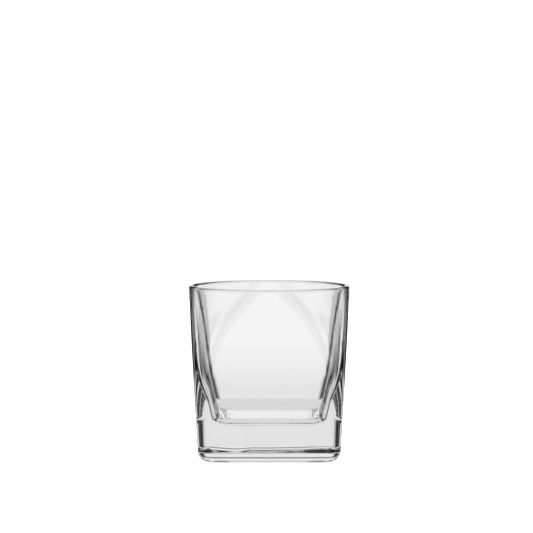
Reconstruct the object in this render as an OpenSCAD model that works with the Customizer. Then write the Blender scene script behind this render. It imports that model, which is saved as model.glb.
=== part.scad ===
// Whiskey tumbler: one press-moulded piece of clear glass.
// The outside is a square with rounded corners at the base and turns into a circle at the rim.
// Every horizontal section is a rounded square, given by its half width and its corner radius.
// The origin is the middle of the base, on the plane that the tumbler stands on.

/* [Overall] */
// Height from the table to the rim
height = 90; // [80:1:110]
// Outside diameter of the round rim
rim_d = 84; // [78:1:96]
// Width of the square base across its flat faces, before the bottom edge is rounded
base_w = 73.2; // [66:0.2:78]

/* [Base] */
// Corner radius of the square at the base
base_corner_r = 4.8; // [3.5:0.1:6]
// Rounding of the bottom edge, seen from the side
bottom_edge_r = 6; // [3:0.5:7]
// Corner radius of the face that the tumbler stands on
foot_corner_r = 3; // [2:0.5:3.5]
// Width of the flat band that touches the table
foot_band = 5; // [3:0.5:10]
// Depth of the shallow hollow under the base
punt_depth = 0.6; // [0.2:0.1:1.5]
// Thickness of the solid glass under the cavity
base_t = 19; // [12:0.5:26]

/* [Corners] */
// Even part of the growth of the outer corner radius between the base and the rim
corner_growth = 5; // [0:0.5:12]
// Height at which the rest of the growth starts
corner_start = 20; // [0:1:30]
// How late that rest comes: 1 is even, and more keeps it near the rim
corner_late = 2.6; // [2.2:0.1:4]
// Corner radius of the cavity, from its floor up to cavity_square_top
cavity_corner_r = 5; // [4:0.1:8]
// Height up to which the cavity keeps that corner radius
cavity_square_top = 42; // [34:1:46]
// How late the cavity corners open above that height: 1 is even, and more is later
cavity_late = 1.7; // [1.5:0.05:1.9]
// Least thickness of the glass across a corner, whatever the other sizes are
corner_wall_min = 1.4; // [1:0.1:1.8]

/* [Cavity] */
// Thickness of the rounded lip
lip_t = 2.6; // [2:0.1:3.5]
// How much thicker the wall is at the cavity floor than at the lip
wall_gain = 6.5; // [4:0.1:7.5]
// How fast the wall thickens downwards: 1 is even, and more keeps the upper wall thin
wall_power = 2.2; // [2:0.1:3]
// Height of the curve between the cavity wall and its floor
floor_edge_h = 5; // [3:0.5:7]
// Width of that curve, measured in from the wall
floor_edge_w = 12; // [5:0.5:14]

/* [Hidden] */

rim_r = rim_d / 2;
base_half = base_w / 2;
lip_z = height - lip_t / 2;

corner_steps = 8;
corner_crowding = 1.8;
edge_steps = 6;
wall_steps = 14;
lip_steps = 6;
cavity_steps = 18;
floor_steps = 8;
punt_steps = 3;
punt_middle = 0.3;

// Directions round a section, crowded together at the four corners.
quarter_dirs = [for (k = [-corner_steps : corner_steps - 1])
    45 + 45 * sign(k) * pow(abs(k) / corner_steps, corner_crowding)];
dirs = [for (q = [0 : 3]) for (d = quarter_dirs) d + 90 * q];
ring_n = len(dirs);

// Distance from the axis to a rounded square (half width a, corner radius r) in direction d.
function reach(a, r, d) =
    let (m = d % 90, p = min(m, 90 - m), c = a - r, s = cos(p) + sin(p), u = cos(p) - sin(p))
    a * tan(p) <= c ? a / cos(p) : c * s + sqrt(max(r * r - c * c * u * u, 0));

// One ring of points: a section is [half width, corner radius, height].
function ring(s) = [for (d = dirs)
    let (q = reach(s[0], s[1], d)) [q * cos(d), q * sin(d), s[2]]];

// Outside: the half width grows evenly from the base to the rim. The corner radius grows
// slowly at first, and faster near the rim, where the section is a circle.
function outer_half(z) = base_half + (rim_r - base_half) * z / lip_z;
function outer_corner(z) =
    let (rise = max(z - corner_start, 0) / (lip_z - corner_start),
         late = rim_r - base_corner_r - corner_growth)
    base_corner_r + corner_growth * z / lip_z + late * pow(rise, corner_late);

// Cavity: its wall thins from the floor to the lip. Its corners stay small low down, and
// open to a circle at the lip.
function cavity_rise(z) = (z - base_t) / (lip_z - base_t);
function cavity_wall(z) = lip_t + wall_gain * pow(max(1 - cavity_rise(z), 0), wall_power);
function cavity_half(z) = outer_half(z) - cavity_wall(z);
function cavity_opening(z) = max(z - cavity_square_top, 0) / (lip_z - cavity_square_top);
function corner_reach(a, r) = a * sqrt(2) - r * (sqrt(2) - 1);
function cavity_corner(z) =
    let (top = rim_r - lip_t,
         opened = cavity_corner_r + (top - cavity_corner_r) * pow(cavity_opening(z), cavity_late),
         limit = corner_reach(outer_half(z), outer_corner(z)) - corner_wall_min,
         least = (cavity_half(z) * sqrt(2) - limit) / (sqrt(2) - 1))
    min(max(opened, least), cavity_half(z));

// The hollow under the base, from near its middle out to the flat band.
foot_half = outer_half(0) - bottom_edge_r;
punt_half = foot_half - foot_band;
punt = [for (i = [0 : punt_steps])
    let (t = punt_middle + (1 - punt_middle) * i / punt_steps)
    [punt_half * t, foot_corner_r * t, punt_depth * (1 - t * t)]];

// The rounded bottom edge, from the flat band up to the outer wall.
bottom_edge = [for (i = [0 : edge_steps])
    let (g = 90 * i / edge_steps, inset = bottom_edge_r * (1 - sin(g)), z = bottom_edge_r * (1 - cos(g)))
    [outer_half(z) - inset,
     outer_corner(z) + (foot_corner_r - outer_corner(z)) * inset / bottom_edge_r, z]];

outer_wall = [for (i = [1 : wall_steps])
    let (z = bottom_edge_r + (lip_z - bottom_edge_r) * i / wall_steps)
    [outer_half(z), outer_corner(z), z]];

// The lip is a half circle from the outer wall over to the cavity wall.
lip = [for (i = [1 : lip_steps])
    let (g = 180 * i / lip_steps, inset = lip_t / 2 * (1 - cos(g)))
    [outer_half(lip_z) - inset, outer_corner(lip_z) - inset, lip_z + lip_t / 2 * sin(g)]];

cavity_low_z = base_t + floor_edge_h;
cavity_wall_rings = [for (i = [1 : cavity_steps])
    let (z = lip_z + (cavity_low_z - lip_z) * i / cavity_steps)
    [cavity_half(z), cavity_corner(z), z]];

// The curve from the cavity wall down to its floor is a quarter of an ellipse.
low_half = cavity_half(cavity_low_z);
low_corner = cavity_corner(cavity_low_z);
floor_edge = [for (i = [1 : floor_steps])
    let (g = 90 * i / floor_steps, size = 1 - floor_edge_w / low_half * (1 - cos(g)))
    [low_half * size, low_corner * size, cavity_low_z - floor_edge_h * sin(g)]];

sections = concat(punt, bottom_edge, outer_wall, lip, cavity_wall_rings, floor_edge);

// Skins a stack of rings, and closes its first and last ring with a fan round their middles.
module skin(stack) {
    last = (len(stack) - 1) * ring_n;
    first_middle = last + ring_n;
    last_middle = first_middle + 1;
    sides = [for (i = [0 : len(stack) - 2]) for (j = [0 : ring_n - 1])
        let (a = i * ring_n + j, b = i * ring_n + (j + 1) % ring_n)
        each [[a, b, b + ring_n], [a, b + ring_n, a + ring_n]]];
    first_fan = [for (j = [0 : ring_n - 1]) [first_middle, (j + 1) % ring_n, j]];
    last_fan = [for (j = [0 : ring_n - 1]) [last_middle, last + j, last + (j + 1) % ring_n]];
    polyhedron(
        points = concat([for (s = stack) each ring(s)],
            [[0, 0, stack[0][2]], [0, 0, stack[len(stack) - 1][2]]]),
        faces = concat(first_fan, sides, last_fan),
        convexity = 4);
}

module tumbler() {
    color([0.90, 0.92, 0.92, 0.35]) skin(sections);
}

tumbler();
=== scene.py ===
"""Visual model of a clear pressed-glass whiskey tumbler in a white studio.

The glass is one mesh. Every horizontal section of it is a rounded square, given by its half
width and its corner radius, as in the CAD model. Sizes below are in millimetres, and the
mesh is made in metres.
"""

import math

import bmesh
import bpy
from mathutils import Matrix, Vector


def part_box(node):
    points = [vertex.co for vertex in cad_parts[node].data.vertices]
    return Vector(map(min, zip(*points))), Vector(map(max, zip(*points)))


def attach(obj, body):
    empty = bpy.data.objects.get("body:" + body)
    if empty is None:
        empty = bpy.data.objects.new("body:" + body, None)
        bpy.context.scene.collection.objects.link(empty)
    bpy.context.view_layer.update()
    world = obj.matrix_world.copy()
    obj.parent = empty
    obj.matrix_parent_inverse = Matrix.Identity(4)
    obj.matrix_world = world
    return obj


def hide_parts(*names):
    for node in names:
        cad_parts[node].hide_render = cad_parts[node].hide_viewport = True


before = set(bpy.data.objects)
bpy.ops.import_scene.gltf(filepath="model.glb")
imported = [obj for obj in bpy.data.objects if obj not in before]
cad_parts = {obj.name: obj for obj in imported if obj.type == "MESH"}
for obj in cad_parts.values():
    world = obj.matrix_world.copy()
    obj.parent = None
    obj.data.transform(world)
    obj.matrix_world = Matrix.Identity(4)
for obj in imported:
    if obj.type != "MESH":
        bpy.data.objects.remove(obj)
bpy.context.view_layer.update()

MM = 0.001
NODE = "tumbler"

# Driving dimensions of the glass, taken from the CAD box where it gives them.
CAD_LOW, CAD_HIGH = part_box(NODE)
HEIGHT = (CAD_HIGH.z - CAD_LOW.z) / MM
RIM_R = (CAD_HIGH.x - CAD_LOW.x) / 2 / MM
BASE_HALF = 36.6
BASE_CORNER_R = 4.8
CORNER_GROWTH = 5.0
CORNER_START = 20.0
CORNER_LATE = 2.6
BOTTOM_EDGE_R = 6.0
FOOT_CORNER_R = 3.0
FOOT_BAND = 5.0
PUNT_DEPTH = 0.6
BASE_T = 19.0
LIP_T = 2.6
WALL_GAIN = 6.5
WALL_POWER = 2.2
CAVITY_CORNER_R = 5.0
CAVITY_SQUARE_TOP = 42.0
CAVITY_LATE = 1.7
# The curve between the cavity wall and its floor is a quarter of an ellipse.
FLOOR_EDGE_H = 5.0
FLOOR_EDGE_W = 12.0
LIP_Z = HEIGHT - LIP_T / 2

# How finely each stretch of the surface is divided.
CORNER_SPAN = 6.0
CORNER_STEPS = 44
FACE_STEPS = 56
PUNT_STEPS = 8
EDGE_STEPS = 16
WALL_STEPS = 90
LIP_STEPS = 18
CAVITY_STEPS = 84
FLOOR_EDGE_STEPS = 20
FLOOR_STEPS = 6


def directions():
    """Polar angles round a section in degrees, crowded together at the four corners."""
    corner = [45 + CORNER_SPAN * (2 * i / CORNER_STEPS - 1) for i in range(CORNER_STEPS + 1)]
    half_face = 45 - CORNER_SPAN
    face = [half_face * (2 * i / FACE_STEPS - 1) for i in range(1, FACE_STEPS)]
    return [angle + 90 * turn for turn in range(4) for angle in face + corner]


def reach(half, corner, angle):
    """Distance from the axis to a rounded square in the direction of angle."""
    across = angle % 90
    across = math.radians(min(across, 90 - across))
    centre = half - corner
    if half * math.tan(across) <= centre:
        return half / math.cos(across)
    both = math.cos(across) + math.sin(across)
    between = math.cos(across) - math.sin(across)
    return centre * both + math.sqrt(max(corner ** 2 - (centre * between) ** 2, 0))


def outer_half(z):
    return BASE_HALF + (RIM_R - BASE_HALF) * z / LIP_Z


def outer_corner(z):
    """Grows slowly above the base, and faster near the rim, where the section is a circle."""
    rise = max(z - CORNER_START, 0) / (LIP_Z - CORNER_START)
    late = RIM_R - BASE_CORNER_R - CORNER_GROWTH
    return BASE_CORNER_R + CORNER_GROWTH * z / LIP_Z + late * rise ** CORNER_LATE


def cavity_half(z):
    rise = (z - BASE_T) / (LIP_Z - BASE_T)
    wall = LIP_T + WALL_GAIN * max(1 - rise, 0) ** WALL_POWER
    return outer_half(z) - wall


def cavity_corner(z):
    """Small and constant low down, and opening to a circle at the lip."""
    opening = max(z - CAVITY_SQUARE_TOP, 0) / (LIP_Z - CAVITY_SQUARE_TOP)
    top = RIM_R - LIP_T
    grown = CAVITY_CORNER_R + (top - CAVITY_CORNER_R) * opening ** CAVITY_LATE
    return min(grown, cavity_half(z))


def sections():
    """The surface as a list of (half width, corner radius, height), from under the base,
    up the outside, over the lip and down into the cavity to the middle of its floor."""
    rows = []
    foot_half = outer_half(0) - BOTTOM_EDGE_R
    punt_half = foot_half - FOOT_BAND
    for i in range(1, PUNT_STEPS + 1):
        t = i / PUNT_STEPS
        rows.append((punt_half * t, FOOT_CORNER_R * t, PUNT_DEPTH * (1 - t * t)))
    for i in range(EDGE_STEPS + 1):
        turn = math.pi / 2 * i / EDGE_STEPS
        inset = BOTTOM_EDGE_R * (1 - math.sin(turn))
        z = BOTTOM_EDGE_R * (1 - math.cos(turn))
        corner = outer_corner(z) + (FOOT_CORNER_R - outer_corner(z)) * inset / BOTTOM_EDGE_R
        rows.append((outer_half(z) - inset, corner, z))
    for i in range(1, WALL_STEPS + 1):
        z = BOTTOM_EDGE_R + (LIP_Z - BOTTOM_EDGE_R) * i / WALL_STEPS
        rows.append((outer_half(z), outer_corner(z), z))
    for i in range(1, LIP_STEPS + 1):
        turn = math.pi * i / LIP_STEPS
        inset = LIP_T / 2 * (1 - math.cos(turn))
        rows.append((RIM_R - inset, RIM_R - inset, LIP_Z + LIP_T / 2 * math.sin(turn)))
    low_z = BASE_T + FLOOR_EDGE_H
    for i in range(1, CAVITY_STEPS + 1):
        z = LIP_Z + (low_z - LIP_Z) * i / CAVITY_STEPS
        rows.append((cavity_half(z), cavity_corner(z), z))
    low_half, low_corner = cavity_half(low_z), cavity_corner(low_z)
    for i in range(1, FLOOR_EDGE_STEPS + 1):
        turn = math.pi / 2 * i / FLOOR_EDGE_STEPS
        size = 1 - FLOOR_EDGE_W / low_half * (1 - math.cos(turn))
        z = low_z - FLOOR_EDGE_H * math.sin(turn)
        rows.append((low_half * size, low_corner * size, z))
    floor_half, floor_corner, floor_z = rows[-1]
    for i in range(1, FLOOR_STEPS):
        t = 1 - i / FLOOR_STEPS
        rows.append((floor_half * t, floor_corner * t, floor_z))
    return rows


def make_glass():
    """Skins the sections, and closes the two ends with a fan."""
    angles = directions()
    bm = bmesh.new()
    rings = []
    for half, corner, z in sections():
        ring = []
        for angle in angles:
            r = reach(half, corner, angle) * MM
            turn = math.radians(angle)
            ring.append(bm.verts.new((r * math.cos(turn), r * math.sin(turn), z * MM)))
        rings.append(ring)
    count = len(angles)
    for lower, upper in zip(rings, rings[1:]):
        for i in range(count):
            j = (i + 1) % count
            bm.faces.new((lower[i], lower[j], upper[j], upper[i]))
    middle_low = bm.verts.new((0, 0, PUNT_DEPTH * MM))
    middle_high = bm.verts.new((0, 0, BASE_T * MM))
    for i in range(count):
        j = (i + 1) % count
        bm.faces.new((middle_low, rings[0][j], rings[0][i]))
        bm.faces.new((middle_high, rings[-1][i], rings[-1][j]))
    bmesh.ops.recalc_face_normals(bm, faces=bm.faces)
    mesh = bpy.data.meshes.new("tumbler_glass")
    bm.to_mesh(mesh)
    bm.free()
    for face in mesh.polygons:
        face.use_smooth = True
    piece = bpy.data.objects.new("tumbler_glass", mesh)
    bpy.context.scene.collection.objects.link(piece)
    return piece


# ---- Node helpers ----
def math_node(tree, operation, first, second=None):
    node = tree.nodes.new("ShaderNodeMath")
    node.operation = operation
    for slot, value in enumerate((first, second)):
        if value is None:
            continue
        if isinstance(value, (int, float)):
            node.inputs[slot].default_value = value
        else:
            tree.links.new(value, node.inputs[slot])
    return node.outputs[0]


def curve_node(tree, angle, stops):
    """A colour ramp that turns an angle in degrees into a level."""
    first, last = stops[0][0], stops[-1][0]
    away = math_node(tree, "SUBTRACT", angle, first)
    share = math_node(tree, "DIVIDE", away, last - first)
    ramp = tree.nodes.new("ShaderNodeValToRGB")
    marks = ramp.color_ramp.elements
    while len(marks) > 1:
        marks.remove(marks[-1])
    for i, (place, level) in enumerate(stops):
        position = (place - first) / (last - first)
        mark = marks[0] if i == 0 else marks.new(position)
        mark.position = position
        mark.color = (level, level, level, 1)
    tree.links.new(share, ramp.inputs[0])
    return ramp.outputs[0]


# ---- Glass ----
# Per metre: about a seventh of the light is lost across the thick base.
ABSORPTION = 2.2
REFRACTIVE_INDEX = 1.52
# The mould leaves the surface faintly wavy: a little on the walls, and more round the base.
# Heights are in metres, and scales are pattern cells per metre.
WAVE_SCALE = 45.0
WAVE_STRETCH = (1.0, 1.0, 0.5)
WAVE_SHIFT = (0.035, 0.0, 0.0)
WAVE_HEIGHT = 0.0007
WALL_WAVE = 0.02
WAVE_TOP = 0.009
WAVE_FULL = 0.005
RIPPLE_SCALE = 900.0
RIPPLE_SHARE = 0.004
# Patches of the wave pattern above the first level are polished less, up to the second.
POLISHED_BELOW = 0.55
LEAST_POLISHED_ABOVE = 0.75
LEAST_ROUGHNESS = 0.0
MOST_ROUGHNESS = 0.02


def glass_surface(tree, shader):
    """Mould waves, a fine ripple, and patches that are polished a little less."""
    coords = tree.nodes.new("ShaderNodeTexCoord")
    stretch = tree.nodes.new("ShaderNodeMapping")
    stretch.inputs["Scale"].default_value = WAVE_STRETCH
    stretch.inputs["Location"].default_value = WAVE_SHIFT
    tree.links.new(coords.outputs["Object"], stretch.inputs["Vector"])
    waves = tree.nodes.new("ShaderNodeTexNoise")
    waves.inputs["Scale"].default_value = WAVE_SCALE
    waves.inputs["Detail"].default_value = 1.0
    tree.links.new(stretch.outputs[0], waves.inputs["Vector"])
    ripple = tree.nodes.new("ShaderNodeTexNoise")
    ripple.inputs["Scale"].default_value = RIPPLE_SCALE
    ripple.inputs["Detail"].default_value = 2.0
    tree.links.new(coords.outputs["Object"], ripple.inputs["Vector"])
    split = tree.nodes.new("ShaderNodeSeparateXYZ")
    tree.links.new(coords.outputs["Object"], split.inputs[0])
    near_base = tree.nodes.new("ShaderNodeMapRange")
    near_base.inputs["From Min"].default_value = WAVE_FULL
    near_base.inputs["From Max"].default_value = WAVE_TOP
    near_base.inputs["To Min"].default_value = 1.0
    near_base.inputs["To Max"].default_value = WALL_WAVE
    tree.links.new(split.outputs["Z"], near_base.inputs["Value"])
    large = math_node(tree, "MULTIPLY", waves.outputs["Fac"], near_base.outputs[0])
    small = math_node(tree, "MULTIPLY", ripple.outputs["Fac"], RIPPLE_SHARE)
    relief = math_node(tree, "ADD", large, small)
    bump = tree.nodes.new("ShaderNodeBump")
    bump.inputs["Distance"].default_value = WAVE_HEIGHT
    tree.links.new(relief, bump.inputs["Height"])
    tree.links.new(bump.outputs[0], shader.inputs["Normal"])
    polish = tree.nodes.new("ShaderNodeMapRange")
    polish.inputs["From Min"].default_value = POLISHED_BELOW
    polish.inputs["From Max"].default_value = LEAST_POLISHED_ABOVE
    polish.inputs["To Min"].default_value = LEAST_ROUGHNESS
    polish.inputs["To Max"].default_value = MOST_ROUGHNESS
    tree.links.new(waves.outputs["Fac"], polish.inputs["Value"])
    tree.links.new(polish.outputs[0], shader.inputs["Roughness"])


def glass_material():
    """Polished soda-lime glass with the faint waviness of a fire-polished pressing."""
    mat = bpy.data.materials.new("clear_glass")
    mat.use_nodes = True
    tree = mat.node_tree
    shader = tree.nodes["Principled BSDF"]
    shader.inputs["Base Color"].default_value = (1.0, 1.0, 1.0, 1.0)
    shader.inputs["Transmission Weight"].default_value = 1.0
    shader.inputs["IOR"].default_value = REFRACTIVE_INDEX
    glass_surface(tree, shader)
    absorb = tree.nodes.new("ShaderNodeVolumeAbsorption")
    absorb.inputs["Color"].default_value = (0.0, 0.0, 0.0, 1.0)
    absorb.inputs["Density"].default_value = ABSORPTION
    tree.links.new(absorb.outputs[0], tree.nodes["Material Output"].inputs["Volume"])
    return mat


tumbler = make_glass()
tumbler.data.materials.append(glass_material())
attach(tumbler, "root")
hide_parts(NODE)

# ---- Studio ----
# The camera sees plain white. The light that the glass bends and reflects is patterned, and
# the pattern is chosen for the dark lines that it gives in the glass.
# Light level against the angle from straight behind the glass, in degrees: a white panel,
# grey beside it, and a black gap before the next panel. The pattern is mirrored about its
# last angle, so a panel stands behind the glass from each side and from each corner.
PANELS = [(0.0, 0.91), (6.7, 0.91), (7.3, 0.6), (11.0, 0.55), (13.0, 0.04), (22.5, 0.04)]
# The same against height, in degrees above the horizon, with a thin dark ring that darkens
# the bottom edge.
HEIGHTS = [(-90.0, 0.85), (-50.0, 0.75), (-20.0, 0.82), (-13.0, 0.94), (-9.0, 1.02), (0.0, 0.99),
           (5.0, 1.08), (11.0, 1.08), (13.5, 0.25), (16.5, 0.25), (19.0, 1.08), (90.0, 1.08)]
# Well above and below the horizon the panels fade into one even level.
EVEN_LEVEL = 0.9
PANEL_FADE = [(-90.0, 1.0), (-40.0, 1.0), (-22.0, 0.0), (19.0, 0.0), (24.0, 1.0), (90.0, 1.0)]


def make_studio():
    """White panels round the glass. The camera itself sees a plain white background."""
    world = bpy.data.worlds.new("studio")
    bpy.context.scene.world = world
    world.use_nodes = True
    tree = world.node_tree
    tree.nodes.clear()
    coords = tree.nodes.new("ShaderNodeTexCoord")
    split = tree.nodes.new("ShaderNodeSeparateXYZ")
    tree.links.new(coords.outputs["Generated"], split.inputs[0])
    azimuth = math_node(tree, "ARCTAN2", split.outputs["X"], split.outputs["Y"])
    degrees = math_node(tree, "MULTIPLY", azimuth, 180 / math.pi)
    folded = math_node(tree, "PINGPONG", degrees, PANELS[-1][0])
    panels = curve_node(tree, folded, PANELS)
    rise = math_node(tree, "ARCSINE", split.outputs["Z"])
    height = math_node(tree, "MULTIPLY", rise, 180 / math.pi)
    fade = curve_node(tree, height, PANEL_FADE)
    keep = math_node(tree, "SUBTRACT", 1.0, fade)
    shown = math_node(tree, "MULTIPLY", panels, keep)
    even = math_node(tree, "MULTIPLY", fade, EVEN_LEVEL)
    level = math_node(tree, "ADD", shown, even)
    level = math_node(tree, "MULTIPLY", level, curve_node(tree, height, HEIGHTS))
    lit = tree.nodes.new("ShaderNodeBackground")
    lit.inputs["Color"].default_value = (1, 1, 1, 1)
    tree.links.new(level, lit.inputs["Strength"])
    plain = tree.nodes.new("ShaderNodeBackground")
    plain.inputs["Color"].default_value = (1, 1, 1, 1)
    path = tree.nodes.new("ShaderNodeLightPath")
    mix = tree.nodes.new("ShaderNodeMixShader")
    out = tree.nodes.new("ShaderNodeOutputWorld")
    tree.links.new(path.outputs["Is Camera Ray"], mix.inputs[0])
    tree.links.new(lit.outputs[0], mix.inputs[1])
    tree.links.new(plain.outputs[0], mix.inputs[2])
    tree.links.new(mix.outputs[0], out.inputs[0])


FLOOR_RADIUS = 1.2
FLOOR_SEGMENTS = 96
FLOOR_WHITE = (0.9, 0.9, 0.9, 1)
FLOOR_ROUGHNESS = 0.8
FLOOR_GLOW = 0.8


def make_floor():
    """A plain white disc under the tumbler. The glass doesn't reflect it or show it."""
    bm = bmesh.new()
    bmesh.ops.create_circle(bm, cap_ends=True, radius=FLOOR_RADIUS, segments=FLOOR_SEGMENTS)
    mesh = bpy.data.meshes.new("floor")
    bm.to_mesh(mesh)
    bm.free()
    floor = bpy.data.objects.new("floor", mesh)
    bpy.context.scene.collection.objects.link(floor)
    mat = bpy.data.materials.new("white_floor")
    mat.use_nodes = True
    shader = mat.node_tree.nodes["Principled BSDF"]
    shader.inputs["Base Color"].default_value = FLOOR_WHITE
    shader.inputs["Roughness"].default_value = FLOOR_ROUGHNESS
    shader.inputs["Emission Color"].default_value = (1, 1, 1, 1)
    shader.inputs["Emission Strength"].default_value = FLOOR_GLOW
    mesh.materials.append(mat)
    floor.visible_transmission = False
    floor.visible_glossy = False


# ---- Camera ----
CAMERA_DISTANCE = 2.5
RIM_ELEVATION = 3.75
RIM_SHARE = 0.302
RIM_BELOW_MIDDLE = 0.0351
RIM_RIGHT_OF_MIDDLE = 0.0051
SENSOR = 36.0
CLIP_START = 0.05
CLIP_END = 50


def make_camera():
    """A long lens a little above the rim, square to one of the flat faces."""
    data = bpy.data.cameras.new("camera")
    camera = bpy.data.objects.new("camera", data)
    bpy.context.scene.collection.objects.link(camera)
    bpy.context.scene.camera = camera
    focal = CAMERA_DISTANCE * RIM_SHARE / (2 * RIM_R * MM)
    data.sensor_width = SENSOR
    data.lens = focal * SENSOR
    data.clip_start = CLIP_START
    data.clip_end = CLIP_END
    elevation = math.radians(RIM_ELEVATION)
    above_rim = CAMERA_DISTANCE * math.tan(elevation)
    camera.location = (0, -CAMERA_DISTANCE, HEIGHT * MM + above_rim)
    tilt = math.pi / 2 - elevation + math.atan(RIM_BELOW_MIDDLE / focal)
    camera.rotation_euler = (tilt, 0, math.atan(RIM_RIGHT_OF_MIDDLE / focal))


make_studio()
make_floor()
make_camera()
bpy.context.scene.view_settings.view_transform = "Standard"
